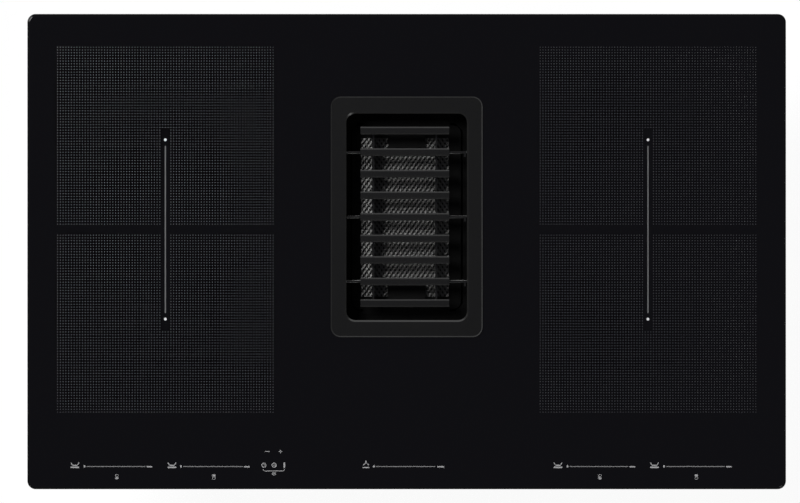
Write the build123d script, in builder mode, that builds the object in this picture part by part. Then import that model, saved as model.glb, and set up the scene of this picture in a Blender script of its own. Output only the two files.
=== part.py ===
from build123d import *
import os
from math import cos, radians

# Downdraft induction cooktop, built into a worktop.  All sizes are millimetres.
# Origin: centre of the glass, on the worktop's top face.  +X right, +Y rear, +Z up.

os.makedirs("parts", exist_ok=True)

# ---- Driving dimensions ------------------------------------------------------------------

# Glass plate and the foam strip that it lies on
glass_width = 830
glass_depth = 520
glass_thickness = 4
glass_corner = 9
glass_bevel_width = 2.6
glass_bevel_drop = 0.8
gasket_thickness = 2
gasket_inset = 3
gasket_width = 7
glass_bottom = gasket_thickness
glass_top = glass_bottom + glass_thickness

# Air inlet in the middle of the glass
vent_y = 38
trim_width = 166
trim_depth = 263
trim_corner = 11
trim_height = 2.4
trim_inner_bevel = 1.3
trim_inner_bevel_width = 1.8
trim_outer_bevel = 1.2
opening_width = 132
opening_depth = 226
opening_corner = 10
collar_wall = 2.5
collar_bottom = -9
seal_thickness = 0.6
seal_inset = 2
glass_hole_gap = 2.5

# Lift-off grille: slats across, two rails below them, six lugs with feet
slat_count = 9
slat_pitch = 23.6
slat_width = 8.3
slat_length = 97
slat_x = -2
slat_height = 10
slat_top = 6.5
slat_bevel_width = 1.4
slat_bevel_drop = 0.65
rail_x = 34.5
rail_width = 2.2
rail_height = 8
lug_thickness = 2.2
lug_height = 8
lug_reach = 65
lug_foot_width = 3
lug_hook = 5
lug_slats = (-3, 0, 3)

# Filter well, a moulded box that hangs below the glass
well_wall = 2.5
well_flange_width = 176
well_flange_depth = 272
well_seal_thickness = 1.5
upper_well_width = 138
upper_well_depth = 232
lower_well_width = 124
lower_well_depth = 208
well_corner = 12
chamber_cut = 10
chamber_inner_cut = 8.5
skirt_cut = 2.4
ledge_z = -24
hopper_top = -150
hopper_bottom = -172
hopper_inset = 13
skirt_bottom = -190
ledge_rib_width = 2
ledge_rib_height = 1.5
ledge_gap = 0.5
drain_slots = 5
drain_pitch = 26
drain_slot_width = 7
drain_slot_length = 52
window_width = 150

# Filter cassette
filter_width = 120
filter_depth = 203
filter_height = 38
filter_sheet = 1.2
filter_corner = 8
filter_lip = 6
filter_lip_width = 96
filter_bead_width = 2
filter_bead_height = 0.8
mesh_width = 97
mesh_depth = 175.4
mesh_thickness = 0.8
mesh_columns = 4
mesh_rows = 7
baffle_slots = 6
baffle_slot_width = 9
mesh_strand = 1.2
mesh_margin = 4
handle_width = 41
handle_depth = 13
handle_height = 3
handle_corner = 4
handle_fixing = 6
handle_lip = 1.5
handle_lip_inset = 2

# Steel tray that carries the coils and the electronics
tray_width = 798
tray_depth = 478
tray_corner = 5
tray_bottom = -52
tray_sheet = 1.2
tray_rim = 11
tray_well_gap = 1
slot_count = 6
slot_pitch = 13
slot_length = 72
slot_width = 5
rear_slot_count = 8
rear_slot_pitch = 18
rear_slot_height = 26

# Cooking zones: two columns of two oblong coils
zone_x = 264
zone_y = 24
coil_offset = 102.8
former_width = 218
former_depth = 176
former_corner = 30
former_sheet = 2
winding_height = 4.8
winding_width = 208
winding_depth = 166
winding_corner = 52
winding_facets = 3
winding_eye_width = 76
winding_eye_depth = 40
ferrite_height = 5
ferrite_width = 11
ferrite_length = 58
insulation_thickness = 1.2
carrier_width = 236
carrier_depth = 424
carrier_sheet = 1.5
carrier_foot = 14
sensor_radius = 6
sensor_gap = 1
insulation_inset = 3

# Power electronics
board_width = 176
board_depth = 240
board_sheet = 1.6
board_z = -44
board_y = 70
board_post = 6
choke_x = 62
choke_y = 78
choke_pitch = 34
choke_width = 28
choke_depth = 22
capacitor_x = 60
capacitor_y = -40
capacitor_pitch = 44
capacitor_radius = 11
capacitor_height = 20
relay_x = 68
relay_pitch = 40
relay_width = 14
relay_depth = 26
relay_height = 14
heatsink_width = 52
heatsink_depth = 190
heatsink_height = 24
heatsink_base = 5
fin_count = 9
fin_thickness = 1.6
fan_size = 80
fan_height = 25
fan_bore = 76
fan_hub = 34
fan_blades = 7
fan_y = -106
fan_sides = 12
fan_strut = 3
fan_strut_reach = 21
fan_gap = 1
fan_blade_root = 15
fan_chord = 20
fan_pitch = 38
fan_blade_reach = 20
fan_blade_thickness = 1.4
fan_boss_radius = 4
fan_boss_height = 0.7

# Touch electronics behind the glass's front edge
touch_y = -222
touch_width = 652
touch_depth = 20
touch_z = -5
touch_pads = 12
touch_pad_size = 7
touch_wall = 2

# Blower: scroll casing with a vertical axis, right of the well
wall = 2.5
blower_bottom = -204
casing_top = -106
inlet_plate = 3
plenum_half_width = 88
plenum_sides = 24
axis_x = 236
axis_y = vent_y
scroll_step = 24
scroll_start_radius = 105
tongue_angle = 118
tongue_thickness = 9
tongue_radius = 4
outlet_y = 195
outlet_straight = 20
ear_radius = 6
ear_height = 14
ear_gap = 3
ear_shift = 12
corner_ear_x = 84
corner_ear_y = 108
eye_radius = 60
bell_depth = 9
bell_flare = 5
bell_taper = 45
bell_sides = 20
impeller_radius = 80
impeller_bottom = -193
impeller_top = -115
blade_count = 24
blade_centre_x = 72
blade_centre_y = -9
blade_curve_radius = 11
blade_thickness = 1.4
blade_start_angle = 50
blade_sweep = 100
blade_chords = 3
hub_radius = 44
hub_top = -134
disc = 2
hub_bevel = 4
disc_sides = 24
motor_gap = 0.6
rotor_play = 0.2
bearing_wall = 4
shaft_foot = 3
motor_sides = 14
shaft_radius = 4
ring_width = 17.5
motor_pan_height = 5
motor_rib_length = 22
pole_count = 6
stator_slot = 6
stator_height = 34
screw_radius = 1.8
screw_head = 2.2

# Rear duct connection, a flat duct of the common 222 x 89 size
spigot_width = 222
spigot_height = 89
spigot_wall = 2
spigot_corner = 3
spigot_length = 44
spigot_flange = 8
flap_pin_radius = 2
flap_pin_gap = 0.4
flap_sheet = 1.6
flap_clearance = 2.5
flap_corner = 4
knuckle_radius = 3.6
seat_width = 6
seat_height = 3
seat_top_gap = 29
flap_seat_gap = 0.3

# Overflow tray under the well
overflow_gap = 0.4
overflow_wall = 2
overflow_top = -178
bowl_cut = 5
bowl_taper = 7
bowl_slope = 11
overflow_rim = 4

# Worktop clamps and mains connection
clamp_y = 150
clamp_width = 24
clamp_sheet = 2
clamp_pad_z = -40
clamp_reach = 14
clamp_leg = 26
clamp_drop = 9
clamp_screw_radius = 2.5
clamp_screw_z = clamp_pad_z + 12
terminal_x = -305
terminal_y = 186
terminal_width = 96
terminal_depth = 70
terminal_height = 36
terminal_wall = 2.5
gland_radius = 13
gland_bore_radius = 7
gland_length = 20
gland_flange = 3
gland_sides = 12
terminal_poles = 5
pole_pitch = 13
pole_width = 11
pole_depth = 24
pole_height = 16
pole_shift = 8
cover_overhang = 1
nut_inset = 1

# ---- Planes and shared profiles ----------------------------------------------------------

vent_plane = Plane(origin=(0, vent_y, 0))
inlet_plane = Plane(origin=(slat_x, vent_y, 0))
blower_plane = Plane(origin=(axis_x, axis_y, 0))
sides = (("left", -1), ("right", 1))
rows = (("rear", 1), ("front", -1))


def faceted_rectangle(width, depth, radius, steps=1, mode=Mode.ADD):
    """Rectangle whose round corners are drawn with a few straight facets each."""
    x, y = width / 2 - radius, depth / 2 - radius
    centres = ((x, y), (-x, y), (-x, -y), (x, -y))
    points = [
        Vector(*centre) + Vector(radius, 0).rotate(Axis.Z, 90 * (quarter + step / steps))
        for quarter, centre in enumerate(centres)
        for step in range(steps + 1)
    ]
    return Polygon(*points, align=None, mode=mode)


# The scroll grows clockwise by one step each quarter turn: three arcs whose centres lie on
# the corners of a small square about the impeller's axis, then the straight outlet wall.
half_step = scroll_step / 2
first_centre = (axis_x + half_step, axis_y - half_step)
second_centre = (axis_x - half_step, axis_y - half_step)
third_centre = (axis_x - half_step, axis_y + half_step)
scroll_left = axis_x - half_step - scroll_start_radius - 2 * scroll_step
outlet_right = scroll_left + spigot_width

with BuildSketch() as scroll_profile:
    with BuildLine():
        first_arc = CenterArc(first_centre, scroll_start_radius, tongue_angle, -tongue_angle)
        CenterArc(second_centre, scroll_start_radius + scroll_step, 0, -90)
        last_arc = CenterArc(third_centre, scroll_start_radius + 2 * scroll_step, 270, -90)
        tongue = first_arc @ 0
        outward = (tongue - Vector(*first_centre)).normalized()
        nose = tongue + outward * tongue_thickness
        Polyline(
            last_arc @ 1,
            (scroll_left, outlet_y),
            (outlet_right, outlet_y),
            (outlet_right, outlet_y - outlet_straight),
            nose,
            tongue,
        )
    make_face()
    fillet(scroll_profile.vertices().sort_by_distance(tongue)[:2], tongue_radius)

# ---- Glass, gasket and trim --------------------------------------------------------------

# Black glass-ceramic plate with a ground bevel round its edge and one cut-out for the vent
glass_hole_width = opening_width + 2 * (collar_wall + glass_hole_gap)
glass_hole_depth = opening_depth + 2 * (collar_wall + glass_hole_gap)
with BuildPart() as glass:
    with BuildSketch(Plane.XY.offset(glass_bottom)):
        RectangleRounded(glass_width, glass_depth, glass_corner)
        with Locations((0, vent_y)):
            faceted_rectangle(glass_hole_width, glass_hole_depth, trim_corner, 2, Mode.SUBTRACT)
    extrude(amount=glass_thickness)
    glass_face = glass.faces().sort_by(Axis.Z)[-1]
    chamfer(
        glass_face.outer_wire().edges(),
        length=glass_bevel_width,
        length2=glass_bevel_drop,
        reference=glass_face,
    )
glass.part.label = "glass_top"
export_step(glass.part, "parts/glass_top.step")

# Foam strip between the glass and the worktop
gasket_inner = gasket_inset + gasket_width
with BuildPart() as gasket:
    with BuildSketch():
        strip_outline = Rectangle(glass_width - 2 * gasket_inset, glass_depth - 2 * gasket_inset)
        chamfer(strip_outline.vertices(), glass_corner / 2)
        Rectangle(glass_width - 2 * gasket_inner, glass_depth - 2 * gasket_inner, mode=Mode.SUBTRACT)
    extrude(amount=gasket_thickness)
gasket.part.label = "worktop_gasket"
export_step(gasket.part, "parts/worktop_gasket.step")

# Silicone ring under the trim frame
with BuildPart() as trim_seal:
    with BuildSketch(vent_plane.offset(glass_top)):
        seal_outline = Rectangle(trim_width - 2 * seal_inset, trim_depth - 2 * seal_inset)
        chamfer(seal_outline.vertices(), trim_corner / 2)
        Rectangle(
            glass_hole_width + seal_inset, glass_hole_depth + seal_inset, mode=Mode.SUBTRACT
        )
    extrude(amount=seal_thickness)
trim_seal.part.label = "trim_seal"
export_step(trim_seal.part, "parts/trim_seal.step")

# Trim frame: a flat bevelled band on the glass, with a collar down through the cut-out
trim_bottom = glass_top + seal_thickness
trim_top = trim_bottom + trim_height
with BuildPart() as trim:
    with BuildSketch(vent_plane.offset(trim_bottom)):
        RectangleRounded(trim_width, trim_depth, trim_corner)
    extrude(amount=trim_height)
    chamfer(trim.faces().sort_by(Axis.Z)[-1].edges(), trim_outer_bevel)
    with BuildSketch(vent_plane.offset(collar_bottom)):
        faceted_rectangle(
            opening_width + 2 * collar_wall,
            opening_depth + 2 * collar_wall,
            opening_corner + collar_wall,
            3,
        )
    extrude(amount=trim_bottom - collar_bottom)
    with BuildSketch(vent_plane.offset(collar_bottom)):
        RectangleRounded(opening_width, opening_depth, opening_corner)
    extrude(amount=trim_top - collar_bottom, mode=Mode.SUBTRACT)
    trim_face = trim.faces().sort_by(Axis.Z)[-1]
    chamfer(
        trim_face.inner_wires()[0].edges(),
        length=trim_inner_bevel_width,
        length2=trim_inner_bevel,
        reference=trim_face,
    )
trim.part.label = "trim_frame"
export_step(trim.part, "parts/trim_frame.step")

# ---- Grille ------------------------------------------------------------------------------

# Slats with bevelled top edges
slat_bottom = slat_top - slat_height
with BuildPart() as grille_slats:
    with BuildSketch(inlet_plane.offset(slat_bottom)):
        with GridLocations(0, slat_pitch, 1, slat_count):
            Rectangle(slat_length, slat_width)
    extrude(amount=slat_height)
    for slat_face in grille_slats.faces().group_by(Axis.Z)[-1]:
        chamfer(
            slat_face.edges().filter_by(Axis.X),
            length=slat_bevel_width,
            length2=slat_bevel_drop,
            reference=slat_face,
        )
grille_slats.part.label = "grille_slats"
export_step(grille_slats.part, "parts/grille_slats.step")

# Supports: two rails welded under all the slats, and lugs welded to the ends of three of them.
# The lugs' feet stand on the well's ledge, and the lugs on the right also have a hook.
with BuildPart() as grille_supports:
    with BuildSketch(inlet_plane.offset(slat_bottom - rail_height)):
        with GridLocations(2 * rail_x, 0, 2, 1):
            Rectangle(rail_width, (slat_count - 1) * slat_pitch + slat_width)
    extrude(amount=rail_height)
    for slat in lug_slats:
        lug_y = vent_y + slat * slat_pitch
        for side in (-1, 1):
            slat_end = slat_length / 2 + side * slat_x
            lug_plane = Plane(origin=(0, lug_y, 0), x_dir=(side, 0, 0), z_dir=(0, -side, 0))
            with BuildSketch(lug_plane):
                with BuildLine():
                    Polyline(
                        (slat_end, slat_bottom),
                        (slat_end, slat_bottom + lug_height),
                        (lug_reach, slat_bottom + lug_height),
                        (lug_reach, ledge_z),
                        (lug_reach - lug_foot_width, ledge_z),
                        (lug_reach - lug_foot_width, slat_bottom),
                        close=True,
                    )
                make_face()
            extrude(amount=lug_thickness / 2, both=True)
        with BuildSketch(Plane(origin=(0, lug_y, slat_bottom))):
            with Locations((lug_reach, 0)):
                Rectangle(lug_thickness, lug_hook, align=(Align.MAX, Align.MAX))
        extrude(amount=lug_height)
grille_supports.part.label = "grille_supports"
export_step(grille_supports.part, "parts/grille_supports.step")

# ---- Filter cassette ---------------------------------------------------------------------

# Folded steel frame: a hollow box, open over the mesh above and below
filter_top = ledge_z + filter_sheet
filter_bottom = filter_top - filter_height
filter_bead_length = filter_depth / 2 + filter_lip - mesh_depth / 2 - handle_fixing
with BuildPart() as filter_frame:
    with BuildSketch(vent_plane.offset(filter_bottom)):
        faceted_rectangle(filter_width, filter_depth, filter_corner, 3)
    extrude(amount=filter_height)
    with BuildSketch(vent_plane.offset(ledge_z)):
        Rectangle(filter_lip_width, filter_depth + 2 * filter_lip)
    extrude(amount=filter_sheet)
    # Pressed bead along the middle of each lip, outside the handle
    with BuildSketch(vent_plane.offset(filter_top)):
        with GridLocations(0, filter_depth + 2 * filter_lip - filter_bead_length, 1, 2):
            Rectangle(filter_bead_width, filter_bead_length)
    extrude(amount=filter_bead_height)
    with BuildSketch(vent_plane.offset(filter_bottom + filter_sheet)):
        Rectangle(filter_width - 2 * filter_corner, filter_depth - 2 * filter_sheet)
        Rectangle(filter_width - 2 * filter_sheet, filter_depth - 2 * filter_corner)
    extrude(amount=filter_height - 2 * filter_sheet, mode=Mode.SUBTRACT)
    with BuildSketch(inlet_plane.offset(filter_bottom)):
        Rectangle(mesh_width, mesh_depth)
    extrude(amount=filter_height, mode=Mode.SUBTRACT)
filter_frame.part.label = "filter_frame"
export_step(filter_frame.part, "parts/filter_frame.step")

# Expanded-metal sheet under the frame's top face: two staggered fields of diamond openings
mesh_pitch_x = mesh_width / mesh_columns
mesh_pitch_y = mesh_depth / mesh_rows
diamond_x = mesh_pitch_x / 2 - mesh_strand
diamond_y = mesh_pitch_y / 2 - mesh_strand
diamond_corners = ((-diamond_x, 0), (0, diamond_y), (diamond_x, 0), (0, -diamond_y))
mesh_z = filter_top - filter_sheet - mesh_thickness
with BuildPart() as mesh:
    with BuildSketch(inlet_plane.offset(mesh_z)):
        Rectangle(mesh_width + 2 * mesh_margin, mesh_depth + 2 * mesh_margin)
        with GridLocations(mesh_pitch_x, mesh_pitch_y, mesh_columns, mesh_rows):
            Polygon(*diamond_corners, align=None, mode=Mode.SUBTRACT)
        with GridLocations(mesh_pitch_x, mesh_pitch_y, mesh_columns - 1, mesh_rows - 1):
            Polygon(*diamond_corners, align=None, mode=Mode.SUBTRACT)
    extrude(amount=mesh_thickness)
mesh.part.label = "filter_mesh"
export_step(mesh.part, "parts/filter_mesh.step")

# Baffle sheet on the cassette's lower face, with long slots between its channels
with BuildPart() as baffle:
    with BuildSketch(inlet_plane.offset(filter_bottom + filter_sheet)):
        Rectangle(mesh_width + 2 * mesh_margin, mesh_depth + 2 * mesh_margin)
        with GridLocations(mesh_width / baffle_slots, 0, baffle_slots, 1):
            Rectangle(baffle_slot_width, mesh_depth - baffle_slot_width, mode=Mode.SUBTRACT)
    extrude(amount=filter_sheet)
baffle.part.label = "filter_baffle"
export_step(baffle.part, "parts/filter_baffle.step")

# Handles: moulded finger plates fixed on the cassette's ends, reaching over the mesh
for row_name, row in rows:
    handle_plane = Plane(
        origin=(0, vent_y + row * mesh_depth / 2, filter_top), x_dir=(row, 0, 0), z_dir=(0, 0, 1)
    )
    with BuildPart() as handle:
        with BuildSketch(handle_plane):
            with Locations((0, handle_fixing)):
                plate = Rectangle(
                    handle_width, handle_depth + handle_fixing, align=(Align.CENTER, Align.MAX)
                )
            inner_corners = plate.vertices().sort_by_distance((0, vent_y, filter_top))[:2]
            fillet(inner_corners, handle_corner)
        extrude(amount=handle_height)
        with BuildSketch(handle_plane.offset(handle_height)):
            with Locations((0, -handle_depth + handle_lip_inset)):
                Rectangle(handle_width - 3 * handle_corner, handle_lip, align=(Align.CENTER, Align.MIN))
        extrude(amount=handle_lip)
    handle.part.label = f"filter_handle_{row_name}"
    export_step(handle.part, f"parts/filter_handle_{row_name}.step")

# ---- Filter well -------------------------------------------------------------------------

well_flange_top = glass_bottom - well_seal_thickness
with BuildPart() as well_seal:
    with BuildSketch(vent_plane.offset(well_flange_top)):
        seal_outline = Rectangle(
            well_flange_width - 2 * seal_inset, well_flange_depth - 2 * seal_inset
        )
        chamfer(seal_outline.vertices(), well_corner / 2)
        Rectangle(
            upper_well_width + 4 * well_wall, upper_well_depth + 4 * well_wall, mode=Mode.SUBTRACT
        )
    extrude(amount=well_seal_thickness)
well_seal.part.label = "well_seal"
export_step(well_seal.part, "parts/well_seal.step")

# Moulded well: flange, wide throat, ledge, filter chamber, hopper, skirt; its right wall
# opens into the blower's plenum
outer_lower_width = lower_well_width + 2 * well_wall
outer_lower_depth = lower_well_depth + 2 * well_wall
skirt_width = outer_lower_width - 2 * hopper_inset
skirt_depth = outer_lower_depth - 2 * hopper_inset
hopper_height = hopper_top - hopper_bottom
well_side_x = outer_lower_width / 2
ledge_rib_length = (upper_well_depth - filter_depth) / 2 - filter_lip - ledge_gap
roof_z = tray_bottom
window_plane = Plane(origin=(well_side_x, 0, 0), x_dir=(0, 1, 0), z_dir=(1, 0, 0))
plenum_height = roof_z - casing_top - inlet_plate
plenum_open_height = plenum_height - 2 * wall
with BuildPart() as chamber_core:
    with BuildSketch(vent_plane.offset(hopper_bottom + well_wall)):
        faceted_rectangle(lower_well_width, lower_well_depth, chamber_inner_cut)
    extrude(amount=ledge_z - hopper_bottom - well_wall)
    core_floor = chamber_core.faces().sort_by(Axis.Z)[0]
    chamfer(
        core_floor.edges(),
        length=hopper_inset,
        length2=hopper_height - well_wall,
        reference=core_floor,
    )
with BuildPart() as well:
    with BuildSketch(vent_plane.offset(well_flange_top - well_wall)):
        faceted_rectangle(well_flange_width, well_flange_depth, well_corner + 2 * well_wall, 3)
    extrude(amount=well_wall)
    with BuildSketch(vent_plane.offset(ledge_z - well_wall)):
        faceted_rectangle(
            upper_well_width + 2 * well_wall, upper_well_depth + 2 * well_wall, well_corner, 3
        )
    extrude(amount=well_flange_top - ledge_z)
    with BuildSketch(vent_plane.offset(hopper_bottom)):
        faceted_rectangle(outer_lower_width, outer_lower_depth, chamber_cut)
    extrude(amount=ledge_z - hopper_bottom)
    hopper_floor = well.faces().sort_by(Axis.Z)[0]
    chamfer(
        hopper_floor.edges(), length=hopper_inset, length2=hopper_height, reference=hopper_floor
    )
    with BuildSketch(vent_plane.offset(skirt_bottom)):
        faceted_rectangle(skirt_width, skirt_depth, skirt_cut)
        Rectangle(skirt_width - 2 * well_wall, skirt_depth - 2 * well_wall, mode=Mode.SUBTRACT)
    extrude(amount=hopper_bottom - skirt_bottom)
    # Hollow of the throat, the chamber and the hopper
    with BuildSketch(vent_plane.offset(ledge_z)):
        faceted_rectangle(upper_well_width, upper_well_depth, opening_corner, 3)
    extrude(amount=well_flange_top - ledge_z, mode=Mode.SUBTRACT)
    add(chamber_core.part, mode=Mode.SUBTRACT)
    # Rib on the ledge at each end, in line with the filter's bead
    with BuildSketch(vent_plane.offset(ledge_z)):
        with GridLocations(0, upper_well_depth - ledge_rib_length, 1, 2):
            Rectangle(ledge_rib_width, ledge_rib_length)
    extrude(amount=ledge_rib_height)
    # Drain slots in the hopper's floor
    with BuildSketch(vent_plane.offset(hopper_bottom)):
        with GridLocations(0, drain_pitch, 1, drain_slots):
            Rectangle(drain_slot_length, drain_slot_width)
    extrude(amount=well_wall, mode=Mode.SUBTRACT)
    # Window to the plenum
    with BuildSketch(window_plane):
        with Locations((vent_y, roof_z - wall - plenum_open_height / 2)):
            Rectangle(window_width, plenum_open_height)
    extrude(amount=-2 * well_wall, mode=Mode.SUBTRACT)
well.part.label = "filter_well"
export_step(well.part, "parts/filter_well.step")

# Overflow tray: a tapered bowl pushed over the well's skirt from below
bowl_width = skirt_width + 2 * overflow_gap
bowl_depth = skirt_depth + 2 * overflow_gap
bowl_outer_width = bowl_width + 2 * overflow_wall
bowl_outer_depth = bowl_depth + 2 * overflow_wall
bowl_rim = 2 * (overflow_wall + overflow_rim)
with BuildPart() as bowl_core:
    with BuildSketch(vent_plane.offset(blower_bottom + overflow_wall)):
        faceted_rectangle(bowl_width, bowl_depth, bowl_cut)
    extrude(amount=skirt_bottom - blower_bottom - overflow_wall)
    core_floor = bowl_core.faces().sort_by(Axis.Z)[0]
    chamfer(core_floor.edges(), length=bowl_taper, length2=bowl_slope, reference=core_floor)
with BuildPart() as overflow_tray:
    with BuildSketch(vent_plane.offset(blower_bottom)):
        faceted_rectangle(bowl_outer_width, bowl_outer_depth, bowl_cut)
    extrude(amount=overflow_top - blower_bottom)
    bowl_floor = overflow_tray.faces().sort_by(Axis.Z)[0]
    chamfer(bowl_floor.edges(), length=bowl_taper, length2=bowl_slope, reference=bowl_floor)
    with BuildSketch(vent_plane.offset(overflow_top - overflow_wall)):
        faceted_rectangle(bowl_width + bowl_rim, bowl_depth + bowl_rim, bowl_cut)
    extrude(amount=overflow_wall)
    with BuildSketch(vent_plane.offset(skirt_bottom - overflow_wall / 2)):
        faceted_rectangle(bowl_width, bowl_depth, skirt_cut)
    extrude(amount=overflow_top - skirt_bottom + overflow_wall / 2, mode=Mode.SUBTRACT)
    add(bowl_core.part, mode=Mode.SUBTRACT)
overflow_tray.part.label = "overflow_tray"
export_step(overflow_tray.part, "parts/overflow_tray.step")

# ---- Steel tray with the coil carriers ---------------------------------------------------

# Folded steel tray: rim under the glass, air slots under the fans and in the rear wall
with BuildPart() as tray:
    with BuildSketch(Plane.XY.offset(tray_bottom)):
        faceted_rectangle(tray_width, tray_depth, tray_corner, 2)
    extrude(amount=glass_bottom - tray_bottom)
    with BuildSketch(Plane.XY.offset(tray_bottom + tray_sheet)):
        faceted_rectangle(
            tray_width - 2 * tray_sheet, tray_depth - 2 * tray_sheet, tray_corner - tray_sheet, 2
        )
    extrude(amount=glass_bottom - tray_bottom - 2 * tray_sheet, mode=Mode.SUBTRACT)
    with BuildSketch(Plane.XY.offset(glass_bottom - tray_sheet)):
        Rectangle(tray_width - 2 * tray_rim, tray_depth - 2 * tray_rim)
    extrude(amount=tray_sheet, mode=Mode.SUBTRACT)
    with BuildSketch(vent_plane.offset(tray_bottom)):
        faceted_rectangle(
            outer_lower_width + 2 * tray_well_gap, outer_lower_depth + 2 * tray_well_gap, chamber_cut
        )
    extrude(amount=tray_sheet, mode=Mode.SUBTRACT)
    with BuildSketch(Plane.XY.offset(tray_bottom)):
        for side_name, side in sides:
            with Locations((side * zone_x, fan_y)):
                with GridLocations(0, slot_pitch, 1, slot_count):
                    Rectangle(slot_length, slot_width)
    extrude(amount=tray_sheet, mode=Mode.SUBTRACT)
    rear_wall_plane = Plane(
        origin=(0, tray_depth / 2 - tray_sheet, 0), x_dir=(-1, 0, 0), z_dir=(0, 1, 0)
    )
    with BuildSketch(rear_wall_plane):
        for side_name, side in sides:
            with Locations((side * zone_x, (tray_bottom + glass_bottom) / 2)):
                with GridLocations(rear_slot_pitch, 0, rear_slot_count, 1):
                    Rectangle(slot_width, rear_slot_height)
    extrude(amount=tray_sheet, mode=Mode.SUBTRACT)
tray.part.label = "hob_tray"
export_step(tray.part, "parts/hob_tray.step")

# Mica sheets between the coils and the glass, one on each side
with BuildPart() as insulation:
    with BuildSketch(Plane.XY.offset(glass_bottom - insulation_thickness)):
        with Locations((0, zone_y)):
            with GridLocations(2 * zone_x, 0, 2, 1):
                Rectangle(
                    carrier_width - 2 * insulation_inset,
                    2 * coil_offset + former_depth + insulation_inset,
                )
            with GridLocations(2 * zone_x, 2 * coil_offset, 2, 2):
                RegularPolygon(sensor_radius, 6, mode=Mode.SUBTRACT)
    extrude(amount=insulation_thickness)
insulation.part.label = "insulation_sheets"
export_step(insulation.part, "parts/insulation_sheets.step")

former_top = glass_bottom - insulation_thickness - winding_height
former_bottom = former_top - former_sheet
carrier_top = former_bottom - ferrite_height
board_top = board_z + board_sheet
tray_floor = tray_bottom + tray_sheet
for side_name, side in sides:
    # Aluminium carrier: a sheet on two folded legs, with a weight-saving cut-out per coil
    side_plane = Plane(origin=(side * zone_x, zone_y, 0))
    with BuildPart() as carrier:
        with BuildSketch(side_plane.offset(carrier_top - carrier_sheet)):
            Rectangle(carrier_width, carrier_depth)
            for row_name, row in rows:
                with Locations((0, row * coil_offset)):
                    Rectangle(winding_eye_width, winding_eye_depth, mode=Mode.SUBTRACT)
        extrude(amount=carrier_sheet)
        with BuildSketch(side_plane.offset(tray_floor)):
            with GridLocations(0, carrier_depth - carrier_sheet, 1, 2):
                Rectangle(carrier_width, carrier_sheet)
        extrude(amount=carrier_top - tray_floor)
        with BuildSketch(side_plane.offset(tray_floor)):
            with GridLocations(0, carrier_depth - carrier_foot, 1, 2):
                Rectangle(carrier_width, carrier_foot)
        extrude(amount=carrier_sheet)
    carrier.part.label = f"coil_carrier_{side_name}"
    export_step(carrier.part, f"parts/coil_carrier_{side_name}.step")

    for row_name, row in rows:
        coil_name = f"{side_name}_{row_name}"
        coil_plane = Plane(origin=(side * zone_x, zone_y + row * coil_offset, 0))
        # Moulded former: a plate with cut corners and a hole for the sensor
        with BuildPart() as former:
            with BuildSketch(coil_plane.offset(former_bottom)):
                outline = Rectangle(former_width, former_depth)
                chamfer(outline.vertices(), former_corner)
                RegularPolygon(sensor_radius, 6, mode=Mode.SUBTRACT)
            extrude(amount=former_sheet)
        former.part.label = f"coil_former_{coil_name}"
        export_step(former.part, f"parts/coil_former_{coil_name}.step")

        # Litz-wire winding: an oblong flat spiral, kept as one band with its open eye
        with BuildPart() as winding:
            with BuildSketch(coil_plane.offset(former_top)):
                faceted_rectangle(winding_width, winding_depth, winding_corner, winding_facets)
                Rectangle(winding_eye_width, winding_eye_depth, mode=Mode.SUBTRACT)
            extrude(amount=winding_height)
        winding.part.label = f"coil_winding_{coil_name}"
        export_step(winding.part, f"parts/coil_winding_{coil_name}.step")

        # Ferrite bars under the former: three on each side and one at each end
        with BuildPart() as ferrites:
            with BuildSketch(coil_plane.offset(carrier_top)):
                with GridLocations(winding_width / 2, winding_depth / 3, 2, 3):
                    Rectangle(ferrite_length, ferrite_width)
                with GridLocations(0, winding_depth / 2 + winding_eye_depth / 2, 1, 2):
                    Rectangle(ferrite_width, ferrite_length / 2)
            extrude(amount=ferrite_height)
        ferrites.part.label = f"coil_ferrites_{coil_name}"
        export_step(ferrites.part, f"parts/coil_ferrites_{coil_name}.step")

# ---- Power electronics, cooled by one fan on each side -----------------------------------

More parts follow.
